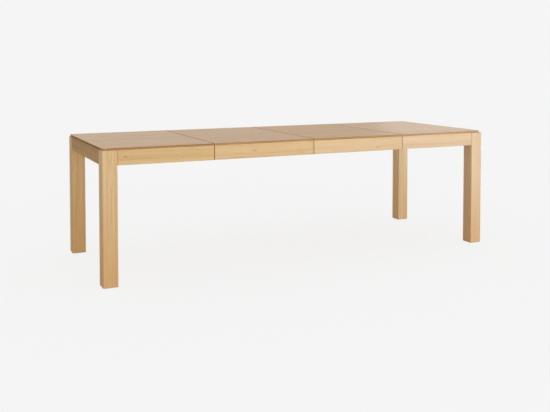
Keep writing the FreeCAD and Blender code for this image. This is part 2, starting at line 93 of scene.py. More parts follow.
# %% Words for building node trees
class Recipe:
    """A shader node tree that is filled step by step."""

    def __init__(self, tree):
        self.tree = tree

    def add(self, kind, settings=None, **inputs):
        """Makes one node, sets its options and fills its named inputs."""
        node = self.tree.nodes.new(kind)
        for option, value in (settings or {}).items():
            setattr(node, option, value)
        for socket, value in inputs.items():
            self.fill(node.inputs[socket.replace("_", " ")], value)
        return node

    def fill(self, socket, value):
        """Links an earlier output to a socket, or writes a plain value into it."""
        if isinstance(value, bpy.types.NodeSocket):
            self.tree.links.new(value, socket)
        else:
            socket.default_value = value

    def sum(self, operation, *values):
        """One step of arithmetic on numbers."""
        node = self.add("ShaderNodeMath", {"operation": operation})
        for socket, value in zip(node.inputs, values):
            self.fill(socket, value)
        return node.outputs[0]

    def vector(self, operation, *values):
        """One step of arithmetic on vectors; a length or a dot product comes back as a number."""
        node = self.add("ShaderNodeVectorMath", {"operation": operation})
        for socket, value in zip(node.inputs, values):
            self.fill(socket, value)
        return node.outputs["Value" if operation in ("LENGTH", "DOT_PRODUCT") else "Vector"]

    def split(self, vector):
        """The three parts of a vector."""
        return self.add("ShaderNodeSeparateXYZ", Vector=vector).outputs

    def join(self, x, y, z):
        """A vector from three parts."""
        return self.add("ShaderNodeCombineXYZ", X=x, Y=y, Z=z).outputs["Vector"]

    def noise(self, vector, per_metre, detail=2.0, roughness=0.5, colour=False):
        """Cloudy noise with its own number of clouds per metre along each axis."""
        scaled = self.vector("MULTIPLY", vector, per_metre)
        node = self.add("ShaderNodeTexNoise", Vector=scaled, Scale=1.0, Detail=detail, Roughness=roughness)
        return node.outputs["Color" if colour else "Fac"]

    def rise(self, value, low, high):
        """A smooth step from 0 at the low value to 1 at the high value."""
        node = self.add("ShaderNodeMapRange", {"interpolation_type": "SMOOTHSTEP"}, Value=value,
                        From_Min=low, From_Max=high)
        return node.outputs["Result"]

    def less(self, value):
        """What a share leaves of 1."""
        return self.sum("SUBTRACT", 1.0, value)

    def mix(self, factor, first, second):
        """A colour between two colours."""
        node = self.add("ShaderNodeMix", {"data_type": "RGBA"})
        self.fill(node.inputs["Factor"], factor)
        colours = [socket for socket in node.inputs if socket.type == "RGBA"]
        self.fill(colours[0], first)
        self.fill(colours[1], second)
        return [socket for socket in node.outputs if socket.type == "RGBA"][0]

    def tint(self, mask, share, first, second):
        """A colour moved towards another by a share of a mask."""
        return self.mix(self.sum("MULTIPLY", mask, share), first, second)

    def seen(self):
        """1 for rays that show a surface to the camera, directly, in gloss or through something clear."""
        rays = self.add("ShaderNodeLightPath").outputs
        direct = self.sum("MAXIMUM", rays["Is Camera Ray"], rays["Is Glossy Ray"])
        return self.sum("MAXIMUM", direct, rays["Is Transmission Ray"])

    def surface(self, shader, colour, rough, bump=None):
        """Fills the main shader's colour, roughness and, where there is a bump, its normal."""
        self.fill(shader.inputs["Base Color"], colour)
        self.fill(shader.inputs["Roughness"], rough)
        if bump:
            self.fill(shader.inputs["Normal"], bump.outputs["Normal"])


def new_group(name, inputs, outputs):
    """An empty node group with named sockets: a recipe, its inputs by name and its output node."""
    tree = bpy.data.node_groups.new(name, "ShaderNodeTree")
    for socket, kind in inputs.items():
        tree.interface.new_socket(socket, in_out="INPUT", socket_type=f"NodeSocket{kind}")
    for socket, kind in outputs.items():
        tree.interface.new_socket(socket, in_out="OUTPUT", socket_type=f"NodeSocket{kind}")
    recipe = Recipe(tree)
    return recipe, recipe.add("NodeGroupInput").outputs, recipe.add("NodeGroupOutput").inputs


def use_group(recipe, name, **inputs):
    """Places a finished group in a material and hands back its outputs."""
    return recipe.add("ShaderNodeGroup", {"node_tree": bpy.data.node_groups[name]}, **inputs).outputs


def new_material(name):
    """An empty material: the material, its recipe and its main shader."""
    material = bpy.data.materials.new(name)
    material.use_nodes = True
    recipe = Recipe(material.node_tree)
    return material, recipe, material.node_tree.nodes["Principled BSDF"]


SCREEN_WHITE = 255
SCREEN_DARK_END = 0.04045
SCREEN_DARK_SLOPE = 12.92
SCREEN_LIFT = 0.055
SCREEN_GAMMA = 2.4


def linear(red, green, blue):
    """A colour as it looks on a screen, turned into the light values that shaders use."""
    screen = np.array((red, green, blue)) / SCREEN_WHITE
    low = screen / SCREEN_DARK_SLOPE
    high = ((screen + SCREEN_LIFT) / (1 + SCREEN_LIFT)) ** SCREEN_GAMMA
    return (*np.where(screen <= SCREEN_DARK_END, low, high).tolist(), 1.0)


print("node words ready")

# %% [markdown]
# ## The floor
# The table stands on a pale floor. Rays that reach the camera from the floor see mostly its own even tone
# and a share of the lit surface, which keeps a soft shadow under the table; far from the table that share
# fades out, so that floor and backdrop meet without a line. Every other ray sees a plain warm floor, so the
# boards aren't lit from below by a floor that is brighter than a real one. From underneath the floor is
# clear, so that the runners can be looked at.

# %% The floor
FLOOR_REACH = 60.0
FLOOR_DROP = -0.0005
BACKDROP = linear(245, 245, 245)
FLOOR_PAINT = linear(240, 240, 240)
FLOOR_WARM = linear(228, 203, 172)
NEAR_GLOW = linear(252, 252, 252)
NEAR_GLOW_SHARE = 0.85
SHADOW_ZONE = (1.5, 6.5)

floor_mesh = bpy.data.meshes.new("floor")
floor_corners = np.array([(-1, -1, 0), (1, -1, 0), (1, 1, 0), (-1, 1, 0)]) * FLOOR_REACH + (0, 0, FLOOR_DROP)
floor_mesh.from_pydata(floor_corners.tolist(), [], [(0, 1, 2, 3)])
floor = bpy.data.objects.new("floor", floor_mesh)
scene.collection.objects.link(floor)

floor_finish, recipe, floor_shader = new_material("pale_floor")
seen = recipe.seen()
distance = recipe.vector("LENGTH", recipe.add("ShaderNodeTexCoord").outputs["Object"])
away = recipe.rise(distance, *SHADOW_ZONE)
glow_share = recipe.sum("MULTIPLY_ADD", away, 1.0 - NEAR_GLOW_SHARE, NEAR_GLOW_SHARE)
recipe.fill(floor_shader.inputs["Base Color"], recipe.mix(seen, FLOOR_WARM, FLOOR_PAINT))
floor_shader.inputs["Roughness"].default_value = 1.0
floor_shader.inputs["Specular IOR Level"].default_value = 0.0
glow = recipe.add("ShaderNodeEmission", Color=recipe.mix(away, NEAR_GLOW, BACKDROP))
blend = recipe.add("ShaderNodeMixShader")
recipe.fill(blend.inputs[0], recipe.sum("MULTIPLY", seen, glow_share))
recipe.fill(blend.inputs[1], floor_shader.outputs["BSDF"])
recipe.fill(blend.inputs[2], glow.outputs["Emission"])
from_below = recipe.add("ShaderNodeMixShader")
recipe.fill(from_below.inputs[0], recipe.add("ShaderNodeNewGeometry").outputs["Backfacing"])
recipe.fill(from_below.inputs[1], blend.outputs["Shader"])
recipe.fill(from_below.inputs[2], recipe.add("ShaderNodeBsdfTransparent").outputs["BSDF"])
recipe.fill(floor_finish.node_tree.nodes["Material Output"].inputs["Surface"], from_below.outputs["Shader"])
floor_mesh.materials.append(floor_finish)
print("floor", 2 * FLOOR_REACH, "m across")

# %% [markdown]
# ## The light
# The room is bright and even, and most of the light comes from it. A broad soft lamp far out in front gives
# the front boards their tone. A low strip in front of the left-hand end reaches under the top, to the far
# legs and the inner faces of the right-hand ones, and another at the front right turns that end paler. Both
# strips stay lower than the top, so that it doesn't mirror them, and a weak card behind the right-hand end
# draws a soft sheen across it.

# %% The room and its lamps
ROOM_SIDES = (0.59, 0.57, 0.54, 1.0)
ROOM_ABOVE = (0.59, 0.59, 0.59, 1.0)
ROOM_RISE = (0.0, 0.9)
LAMPS = {
    "front_softbox": {"place": (-0.8, -13.2, 1.95), "aim": (0, 0, 0.45), "size": (9.0, 3.8), "watts": 105.0},
    "low_strip": {"place": (-1.6, -6.5, 0.4), "aim": (1.25, 0, 0.35), "size": (2.2, 0.7), "watts": 90.0},
    "side_strip": {"place": (5.6, -5.0, 0.45), "aim": (0.6, -0.4, 0.45), "size": (5.0, 0.7), "watts": 138.0},
    "rear_card": {"place": (5.9, 5.6, 1.35), "aim": (1.0, 0, 0.77), "size": (2.4, 1.2), "watts": 11.0},
}

world = bpy.data.worlds.new("room")
world.use_nodes = True
scene.world = world
recipe = Recipe(world.node_tree)
height = recipe.split(recipe.add("ShaderNodeTexCoord").outputs["Generated"])["Z"]
room_light = recipe.mix(recipe.rise(height, *ROOM_RISE), ROOM_SIDES, ROOM_ABOVE)
background = world.node_tree.nodes["Background"]
recipe.fill(background.inputs["Color"], recipe.mix(recipe.seen(), room_light, BACKDROP))

for name, setup in LAMPS.items():
    lamp_data = bpy.data.lights.new(name, "AREA")
    lamp_data.shape = "RECTANGLE"
    lamp_data.size, lamp_data.size_y = setup["size"]
    lamp_data.energy = setup["watts"]
    lamp = bpy.data.objects.new(name, lamp_data)
    lamp.location = setup["place"]
    lamp.rotation_euler = (Vector(setup["aim"]) - lamp.location).to_track_quat("-Z", "Y").to_euler()
    scene.collection.objects.link(lamp)
print("lamps:", ", ".join(LAMPS))

# %% [markdown]
# ## Oak, ring by ring
# Oak takes its figure from the tree's growth rings. Each year starts with a ring of wide pores, which
# shows as a dark line, and goes on with smooth, paler wood. A board is a straight cut through that stack
# of rings, so the same rule gives arches where the saw ran along the rings and fine stripes where it
# crossed them. An image of wood would repeat and would not turn the corner of a board, so the rings are
# worked out in space instead: the distance from the tree's middle, the pith, divided by the width of a
# year. All lengths along the grain lie on the X axis of the group's vector.

# %% The oak figure as a node group
RING_BENDS = (0.8, 3.5, 3.5)
RING_BEND_DEPTH = 0.045
RING_WOBBLES = (5.0, 40.0, 40.0)
RING_WOBBLE_SHARE = 1.1
STREAKS = (1.3, 46.0, 46.0)
DASHES = (13.0, 230.0, 230.0)
PORES = (60.0, 1300.0, 1300.0)
HALF = 0.5
HALF_CLOUD = (HALF, HALF, HALF)
SPRING_SEASON = (0.04, 0.5)
STREAK_EDGES = (0.36, 0.68)
DASH_EDGES = (0.6, 0.74)
PORE_EDGES = (0.56, 0.7)
RING_CHANCE_SHARE = 0.7
SPRING_PORE_SHARE = 0.8
SPRING_SHARE = 0.2
DASH_SHARE = 0.16
PORE_SHARE = 0.45
DASH_PORE_SHARE = 0.4

recipe, given, result = new_group(
    "oak_figure",
    {"Vector": "Vector", "Pith": "Vector", "Ring": "Float",
     "Pale": "Color", "Tan": "Color", "Brown": "Color"},
    {"Color": "Color", "Pores": "Float"})
bend = recipe.noise(given["Vector"], RING_BENDS, colour=True)
bend = recipe.vector("SCALE", recipe.vector("SUBTRACT", bend, HALF_CLOUD))
recipe.fill(bend.node.inputs["Scale"], RING_BEND_DEPTH)
along, across, deep = recipe.split(recipe.vector("ADD", given["Vector"], bend))
lean, pith_across, pith_deep = recipe.split(given["Pith"])
across = recipe.sum("SUBTRACT", across, pith_across)
deep = recipe.sum("MULTIPLY_ADD", along, lean, recipe.sum("SUBTRACT", deep, pith_deep))
radius = recipe.vector("LENGTH", recipe.join(0, across, deep))
wobble = recipe.sum("MULTIPLY", recipe.noise(given["Vector"], RING_WOBBLES), RING_WOBBLE_SHARE)
years = recipe.sum("ADD", recipe.sum("DIVIDE", radius, given["Ring"]), wobble)
season = recipe.sum("FRACT", years)
strength = recipe.add("ShaderNodeTexWhiteNoise", {"noise_dimensions": "1D"}, W=recipe.sum("FLOOR", years))
chance = recipe.sum("MULTIPLY_ADD", strength.outputs["Value"], RING_CHANCE_SHARE, 1.0 - RING_CHANCE_SHARE)
spring = recipe.sum("MULTIPLY", recipe.less(recipe.rise(season, *SPRING_SEASON)), chance)
streak = recipe.rise(recipe.noise(given["Vector"], STREAKS, detail=4.0, roughness=0.6), *STREAK_EDGES)
dash = recipe.rise(recipe.noise(given["Vector"], DASHES, detail=1.0), *DASH_EDGES)
pore = recipe.rise(recipe.noise(given["Vector"], PORES, detail=0.0), *PORE_EDGES)
in_spring = recipe.sum("MULTIPLY_ADD", spring, SPRING_PORE_SHARE, 1.0 - SPRING_PORE_SHARE)
pore = recipe.sum("MULTIPLY", pore, in_spring)
colour = recipe.mix(streak, given["Pale"], given["Tan"])
for mask, share in ((spring, SPRING_SHARE), (dash, DASH_SHARE), (pore, PORE_SHARE)):
    colour = recipe.tint(mask, share, colour, given["Brown"])
recipe.fill(result["Color"], colour)
recipe.fill(result["Pores"], recipe.sum("MAXIMUM", pore, recipe.sum("MULTIPLY", dash, DASH_PORE_SHARE)))
print("oak figure:", len(recipe.tree.nodes), "nodes")

# %% [markdown]
# A small knot is where a twig grew through the board: a darker spot that the rings flow round. Scaling
# the coordinates towards the knot's middle makes the rings swell round it, and the same falloff gives
# the dark spot.

# %% Knots
KNOT_STRETCH = (0.45, 1.0, 1.0)
KNOT_SWELL_REACH = 3.0
KNOT_SWELL = -0.6
KNOT_SPOT = (0.1, 1.0)

recipe, given, result = new_group(
    "knot", {"Vector": "Vector", "Place": "Vector", "Size": "Float"}, {"Vector": "Vector", "Spot": "Float"})
offset = recipe.vector("SUBTRACT", given["Vector"], given["Place"])
span = recipe.vector("LENGTH", recipe.vector("MULTIPLY", offset, KNOT_STRETCH))
share = recipe.sum("DIVIDE", span, given["Size"])
swell = recipe.sum("MULTIPLY", recipe.less(recipe.rise(share, 0.0, KNOT_SWELL_REACH)), KNOT_SWELL)
pull = recipe.vector("SCALE", offset)
recipe.fill(pull.node.inputs["Scale"], swell)
recipe.fill(result["Vector"], recipe.vector("ADD", given["Vector"], pull))
recipe.fill(result["Spot"], recipe.less(recipe.rise(share, *KNOT_SPOT)))
print("knot:", len(recipe.tree.nodes), "nodes")

# %% [markdown]
# The tops are veneered: sheets of sliced oak, jointed side by side. Each sheet comes from another part of
# the log, so it starts at another place along the grain, and its pith lies elsewhere. A random number per
# sheet gives all of that, and the joint itself is a hairline.

# %% Veneer sheets side by side
SHEET_SHIFT = 9.0
SHEET_PITH_SPREAD = 0.09
SHEET_PITH_DEPTH = 0.035
SHEET_LEAN = 0.05
JOINT_HALF_WIDTH = 0.0003

recipe, given, result = new_group(
    "veneer_sheets", {"Vector": "Vector", "Width": "Float", "Seed": "Float"},
    {"Vector": "Vector", "Pith": "Vector", "Tone": "Float", "Joint": "Float"})
along, across, deep = recipe.split(given["Vector"])
sheets = recipe.sum("DIVIDE", across, given["Width"])
number = recipe.sum("FLOOR", sheets)
chance = recipe.add("ShaderNodeTexWhiteNoise", {"noise_dimensions": "2D"},
                    Vector=recipe.join(number, given["Seed"], 0)).outputs
shift, spread, lean = recipe.split(chance["Color"])
middle = recipe.sum("MULTIPLY", recipe.sum("ADD", number, HALF), given["Width"])
inside = recipe.sum("SUBTRACT", across, middle)
moved = recipe.sum("MULTIPLY_ADD", shift, SHEET_SHIFT, along)
recipe.fill(result["Vector"], recipe.join(moved, inside, deep))
centred_spread = recipe.sum("SUBTRACT", spread, HALF)
centred_lean = recipe.sum("SUBTRACT", lean, HALF)
recipe.fill(result["Pith"], recipe.join(recipe.sum("MULTIPLY", centred_lean, SHEET_LEAN),
                                        recipe.sum("MULTIPLY", centred_spread, SHEET_PITH_SPREAD),
                                        SHEET_PITH_DEPTH))
recipe.fill(result["Tone"], chance["Value"])
half_width = recipe.sum("MULTIPLY", given["Width"], HALF)
edge = recipe.sum("SUBTRACT", half_width, recipe.sum("ABSOLUTE", inside))
recipe.fill(result["Joint"], recipe.less(recipe.rise(edge, 0.0, 2 * JOINT_HALF_WIDTH)))
print("veneer sheets:", len(recipe.tree.nodes), "nodes")

# %% [markdown]
# ## Worn edges
# Hands, chairs and cleaning cloths polish the corners of a board first. On a straight board the distance
# to the nearest edge needs no extra geometry: of the three distances from a point to the board's faces,
# the smallest is the face that the point lies on, and the middle one is the way to the nearest edge. The
# smaller of the two level distances goes out as well: it tells how far a point lies from the board's rim.

# %% Edge wear from a board's own box
WEAR_CLOUDS = (60.0, 60.0, 60.0)
WEAR_CLOUD_SHARE = 2.0

recipe, given, result = new_group(
    "edge_wear", {"Vector": "Vector", "Centre": "Vector", "Half": "Vector", "Reach": "Float"},
    {"Wear": "Float", "Side": "Float"})
room = recipe.vector("SUBTRACT", given["Vector"], given["Centre"])
room = recipe.vector("SUBTRACT", given["Half"], recipe.vector("ABSOLUTE", room))
first, second, third = recipe.split(room)
lower = recipe.sum("MINIMUM", first, second)
upper = recipe.sum("MAXIMUM", first, second)
way = recipe.sum("MAXIMUM", lower, recipe.sum("MINIMUM", upper, third))
recipe.fill(result["Side"], lower)
cloud = recipe.noise(given["Vector"], WEAR_CLOUDS, detail=3.0)
limit = recipe.sum("MULTIPLY", given["Reach"], recipe.sum("MULTIPLY", cloud, WEAR_CLOUD_SHARE))
inward = recipe.rise(recipe.sum("DIVIDE", way, limit), 0.0, 1.0)
recipe.fill(result["Wear"], recipe.less(inward))
print("edge wear:", len(recipe.tree.nodes), "nodes")

# %% [markdown]
# ## The lacquer
# The boards are sealed with a thin satin lacquer. It is never quite even: broad patches are a little
# glossier where a roller or a hand has passed. One group turns two scales of cloud into a roughness, and
# the pores, which the lacquer doesn't fill, make it duller still.

# %% Satin lacquer as a varying roughness
LACQUER_PATCHES = (3.0, 5.0, 5.0)
LACQUER_SPECKS = (160.0, 160.0, 160.0)
PATCH_SHARE = 0.6
SPECK_SHARE = 0.4
PORE_DULLING = 0.15
WEAR_POLISH = -0.06

recipe, given, result = new_group(
    "satin_lacquer",
    {"Vector": "Vector", "Gloss": "Float", "Matt": "Float", "Pores": "Float", "Wear": "Float"},
    {"Roughness": "Float"})
patches = recipe.noise(given["Vector"], LACQUER_PATCHES, detail=3.0)
specks = recipe.noise(given["Vector"], LACQUER_SPECKS)
share = recipe.sum("MULTIPLY_ADD", specks, SPECK_SHARE, recipe.sum("MULTIPLY", patches, PATCH_SHARE))
spread = recipe.sum("SUBTRACT", given["Matt"], given["Gloss"])
rough = recipe.sum("MULTIPLY_ADD", share, spread, given["Gloss"])
rough = recipe.sum("MULTIPLY_ADD", given["Pores"], PORE_DULLING, rough)
recipe.fill(result["Roughness"], recipe.sum("MULTIPLY_ADD", given["Wear"], WEAR_POLISH, rough))
print("satin lacquer:", len(recipe.tree.nodes), "nodes")

# %% [markdown]
# ## One finish per board
# Every board of the table is another piece of timber, so each gets its own material from the same recipe:
# its own stretch of the log, its own tone and, on three of the aprons, a small knot. A Mapping node turns
# the table's axes so that the grain runs along X inside the recipe. The veneered tops are edged all round
# with a thin solid strip, the lipping. Its colour is painted shade along the edges and seams of the tops:
# brown on its narrow strip of the upper face and deep on the lip, deepest at the left-hand end, and down
# the bevel it fades to the pale wood of the board, which paints the shaded bevel lighter. The lipping is
# also duller than the face. Where an apron meets a leg, a fine dark line of painted shade lies in the
# joint, and the cut ends of the boards drink up so much of the finish that they turn brown. The legs are
# painted a little deeper towards the floor, a painted shade for the light that falls off there.

# %% A finish for one oak board
GRAIN_TURN = {"X": (0, 0, 0), "Y": (0, 0, math.pi / 2), "Z": (0, -math.pi / 2, 0)}
GRAIN_AXIS = {"X": (1, 0, 0), "Y": (0, 1, 0), "Z": (0, 0, 1)}
SEED_STEP = 3.7
NO_KNOT = (50.0, 0, 0)
KNOT_SIZE = 0.009
RING_WIDTH = 0.0042
EDGE_REACH = 0.004
PORE_DEPTH = 0.0006
PORE_BUMP = 0.35
SHEET_TONE_SHARE = 0.22
SHEET_JOINT_SHARE = 0.35
KNOT_SHARE = 0.4
WEAR_SHARE = 0.2
LIPPING_WIDTH = 0.0035
LIPPING_UNDER = 0.009
LIPPING_EASE = 0.0008
LIPPING_FADE = (0.9, 1.1)
# How strongly the painted shade covers the lipping of the tops.
LIPPING_SHADE_SHARE = 0.8
LIPPING_MATT = 0.5
# A fine dark line of painted shade where a board's end meets the next piece.
JOINT_SHADE_WIDTH = (0.0012, 0.0036)
JOINT_SHADE_SHARE = 0.62
END_GRAIN_DEPTH = (0.0003, 0.0009)
END_GRAIN_SHARE = 0.5
END_GRAIN_TONE = linear(150, 110, 68)
# Painted shade: the legs turn deeper towards the floor.
FOOT_SHADE_TONE = linear(200, 152, 88)
FOOT_SHADE_RISE = (0.0, 0.62)
FOOT_SHADE_SHARE = 0.48


def board_box(node):
    """The middle of a board and half its size along each axis."""
    low, high = (np.array(corner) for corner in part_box(node))
    return (low + high) / 2, (high - low) / 2


def lipping_edge_shade(recipe, height, side, box, tones):
    """Where a top's lipping lies, and its colour, painted shade: brown on the upper face, deep on the lip,
    fading down the shaded bevel to pale.
    """
    centre, half = box
    pale, brown, lip_shade_tone = tones
    upper_face = centre[2] + half[2]
    lip = recipe.sum("LESS_THAN", height, upper_face - LIPPING_EASE)
    below = recipe.less(recipe.rise(height, centre[2] - half[2], upper_face - LIPPING_WIDTH))
    width = recipe.sum("MULTIPLY_ADD", below, LIPPING_UNDER - LIPPING_WIDTH, LIPPING_WIDTH)
    face = recipe.rise(recipe.sum("DIVIDE", side, width), *LIPPING_FADE)
    mask = recipe.sum("MULTIPLY", recipe.less(face), LIPPING_SHADE_SHARE)
    return mask, recipe.mix(below, recipe.mix(lip, brown, lip_shade_tone), pale)


def to_board_end(recipe, place, box, grain):
    """The way to the nearer end of a board, along its grain."""
    middle, reach = (float(part @ GRAIN_AXIS[grain]) for part in box)
    along = recipe.sum("SUBTRACT", recipe.split(place)[grain], middle)
    return recipe.sum("SUBTRACT", reach, recipe.sum("ABSOLUTE", along))


def oak_finish(node, grain, seed, pith, tones, gloss, matt, shine, knot=None, sheet_width=None,
               lip_shade_tone=None):
    """Gives one oak board its own material: grain axis, place in the log, tones and an optional knot.

    A board with a sheet width is a veneered top, and has a lipping painted with shade in its own tone.
    """
    material, recipe, shader = new_material(f"oak_{node}")
    box = centre, half = board_box(node)
    place = recipe.add("ShaderNodeTexCoord").outputs["Object"]
    height = recipe.split(place)["Z"]
    start = centre - np.array(GRAIN_AXIS[grain]) * seed * SEED_STEP
    timber = recipe.add("ShaderNodeMapping", {"vector_type": "TEXTURE"}, Vector=place,
                        Location=start, Rotation=GRAIN_TURN[grain]).outputs["Vector"]
    spot_place = NO_KNOT if knot is None else (np.array(knot) - start)
    knotted = use_group(recipe, "knot", Vector=timber, Place=spot_place, Size=KNOT_SIZE)
    edge = use_group(recipe, "edge_wear", Vector=place, Centre=centre, Half=half, Reach=EDGE_REACH)
    pale, tan, brown = (linear(*tone) for tone in tones)
    figured = {"Vector": knotted["Vector"], "Pith": pith}
    if sheet_width:
        sheets = use_group(recipe, "veneer_sheets", Vector=timber, Width=sheet_width, Seed=float(seed))
        figured = {"Vector": sheets["Vector"], "Pith": sheets["Pith"]}
    oak = use_group(recipe, "oak_figure", Ring=RING_WIDTH, Pale=pale, Tan=tan, Brown=brown, **figured)
    rough = use_group(recipe, "satin_lacquer", Vector=timber, Gloss=gloss, Matt=matt,
                      Pores=oak["Pores"], Wear=edge["Wear"])["Roughness"]
    colour = oak["Color"]
    if sheet_width:
        colour = recipe.tint(sheets["Tone"], SHEET_TONE_SHARE, colour, tan)
        colour = recipe.tint(sheets["Joint"], SHEET_JOINT_SHARE, colour, brown)
    colour = recipe.tint(knotted["Spot"], KNOT_SHARE, colour, brown)
    colour = recipe.tint(edge["Wear"], WEAR_SHARE, colour, brown)
    if sheet_width:
        # The lipping is painted with shade along the edges and seams of the top.
        lipping, edge_shade_colour = lipping_edge_shade(recipe, height, edge["Side"], box, (pale, brown, linear(*lip_shade_tone)))
        colour = recipe.mix(lipping, colour, edge_shade_colour)
        rough = recipe.sum("MULTIPLY_ADD", lipping, LIPPING_MATT, rough)
    elif grain != "Z":
        to_end = to_board_end(recipe, place, box, grain)
        # Painted shade in the joint at the board's end; the end grain beyond it keeps its own browner tone.
        joint_shade = recipe.less(recipe.rise(to_end, *JOINT_SHADE_WIDTH))
        end_grain = recipe.less(recipe.rise(to_end, *END_GRAIN_DEPTH))
        colour = recipe.tint(joint_shade, JOINT_SHADE_SHARE, colour, brown)
        colour = recipe.tint(end_grain, END_GRAIN_SHARE, colour, END_GRAIN_TONE)
    else:
        # Painted shade on the legs, deeper towards the floor.
        colour = recipe.tint(recipe.less(recipe.rise(height, *FOOT_SHADE_RISE)), FOOT_SHADE_SHARE, colour, FOOT_SHADE_TONE)
    bump = recipe.add("ShaderNodeBump", {"invert": True}, Strength=PORE_BUMP, Distance=PORE_DEPTH,
                      Height=oak["Pores"])
    recipe.surface(shader, colour, rough, bump)
    shader.inputs["Specular IOR Level"].default_value = shine
    nodes[node].material_slots[0].material = material


print("oak recipe ready")

# %% [markdown]
# ## Choosing the timber
# A maker sorts boards by tone, but never finds a perfect match. Each set of tones below has three colours:
# the pale summer wood, the tan of the streaks and the brown of the pores. Most boards are fair; the
# left-hand end is warmer, the right-hand end paler, which is partly a painted sheen from the light at the
# front right, the rear right leg is paler still, painted light where the top shades it, and the left end
# apron is the deepest of all. The tops are satin, the frame is closer to matt.

# %% Tops, legs, aprons and skirts
TOP_TONES = ((229, 185, 129), (212, 164, 105), (156, 104, 53))
GOLD_TONES = ((223, 174, 106), (206, 154, 84), (152, 98, 44))
ROSY_TONES = ((232, 190, 138), (215, 169, 114), (158, 109, 62))
WARM_TONES = ((225, 197, 149), (211, 180, 131), (162, 119, 70))
FAIR_TONES = ((227, 200, 156), (214, 184, 140), (168, 126, 82))
# The pale, cream and blond tones on the right-hand boards are partly painted sheen and painted light.
PALE_SHEEN_TONES = ((233, 211, 179), (221, 197, 164), (178, 141, 105))
CREAM_SHEEN_TONES = ((231, 207, 169), (219, 192, 153), (174, 134, 94))
BLOND_LIT_TONES = ((241, 224, 186), (229, 210, 171), (184, 149, 108))
DEEP_TONES = ((192, 153, 95), (176, 136, 78), (132, 90, 44))
TOP_LACQUER = {"gloss": 0.3, "matt": 0.4, "shine": 0.24}
FRAME_LACQUER = {"gloss": 0.46, "matt": 0.6, "shine": 0.16}
SHEET_WIDTH = 0.19
LEG_PITH = (0.012, 0.05, 0.045)
APRON_PITH = (0.03, 0.07, 0.01)
# Right-hand boards: paler tones partly painted sheen; the rear right leg painted light where the top shades
# it.
TIMBER = {
    "left_top": ROSY_TONES, "leaf_2_top": GOLD_TONES, "left_end_apron": DEEP_TONES,
    "left_rear_leg": WARM_TONES, "left_front_apron": WARM_TONES,
    "leaf_2_front_skirt": CREAM_SHEEN_TONES, "right_front_apron": PALE_SHEEN_TONES,
    "right_front_leg": PALE_SHEEN_TONES, "right_rear_leg": BLOND_LIT_TONES,
}
# Lip tones: painted shade on the edge of each top, deepest at the left-hand end.
LIP_SHADE_TONES = {
    "left_top": (150, 114, 76), "leaf_1_top": (172, 144, 108),
    "leaf_2_top": (180, 154, 122), "right_top": (190, 168, 138),
}
KNOTS = {
    "left_front_apron": (-1.172, -0.473, 0.718), "leaf_1_front_skirt": (-0.397, -0.473, 0.717),
    "leaf_2_front_skirt": (0.463, -0.473, 0.697),
}

tops = [name for name in nodes if name.endswith("_top")]
legs = [name for name in nodes if name.endswith("_leg")]
end_aprons = [name for name in nodes if name.endswith("_end_apron")]
long_boards = [name for name in nodes if name.endswith(("_apron", "_skirt")) and name not in end_aprons]
for seed, name in enumerate(tops, 1):
    oak_finish(name, "X", seed, LEG_PITH, TIMBER.get(name, TOP_TONES), **TOP_LACQUER,
               sheet_width=SHEET_WIDTH, lip_shade_tone=LIP_SHADE_TONES[name])
grains = [(legs, "Z", LEG_PITH), (end_aprons, "Y", APRON_PITH), (long_boards, "X", APRON_PITH)]
for boards, grain, pith in grains:
    for seed, name in enumerate(boards, 1):
        oak_finish(name, grain, seed, pith, TIMBER.get(name, FAIR_TONES), **FRAME_LACQUER,
                   knot=KNOTS.get(name))
print("tops", len(tops), "legs", len(legs), "aprons and skirts", len(end_aprons + long_boards))

# %% [markdown]
# ## The beech underneath
# Runners, battens, ties and corner blocks are plain planed beech, left without lacquer. Beech has no bold
# rings: it is an even pinkish tan with soft streaks and thousands of tiny brown dashes, the ends of its
# rays. The same two-step recipe, streaks and then dashes, is enough, and one finish serves each direction
# of the grain.

# %% Beech
BEECH_STREAKS = (1.6, 32.0, 32.0)
BEECH_DASHES = (190.0, 820.0, 820.0)
BEECH_PALE = linear(228, 198, 166)
BEECH_ROSE = linear(212, 174, 138)
BEECH_DASH = linear(160, 114, 80)
SAW_MARKS = (900.0, 25.0, 25.0)
SAW_MARK_DEPTH = 0.0002
SAW_MARK_BUMP = 0.3
BEECH_STREAK_EDGES = (0.3, 0.72)
BEECH_DASH_EDGES = (0.62, 0.7)
BEECH_DASH_SHARE = 0.6
BEECH_DASH_RELIEF = -0.5
BEECH_PLANED = {"Gloss": 0.62, "Matt": 0.78, "Pores": 0.0, "Wear": 0.0}
BEECH_SHINE = 0.3

recipe, given, result = new_group(
    "beech_figure", {"Vector": "Vector", "Pale": "Color", "Rose": "Color", "Dash": "Color"},
    {"Color": "Color", "Height": "Float"})
cloud = recipe.noise(given["Vector"], BEECH_STREAKS, detail=4.0, roughness=0.6)
dash = recipe.rise(recipe.noise(given["Vector"], BEECH_DASHES, detail=1.0), *BEECH_DASH_EDGES)
colour = recipe.mix(recipe.rise(cloud, *BEECH_STREAK_EDGES), given["Pale"], given["Rose"])
recipe.fill(result["Color"], recipe.tint(dash, BEECH_DASH_SHARE, colour, given["Dash"]))
marks = recipe.noise(given["Vector"], SAW_MARKS, detail=0.0)
recipe.fill(result["Height"], recipe.sum("MULTIPLY_ADD", dash, BEECH_DASH_RELIEF, marks))

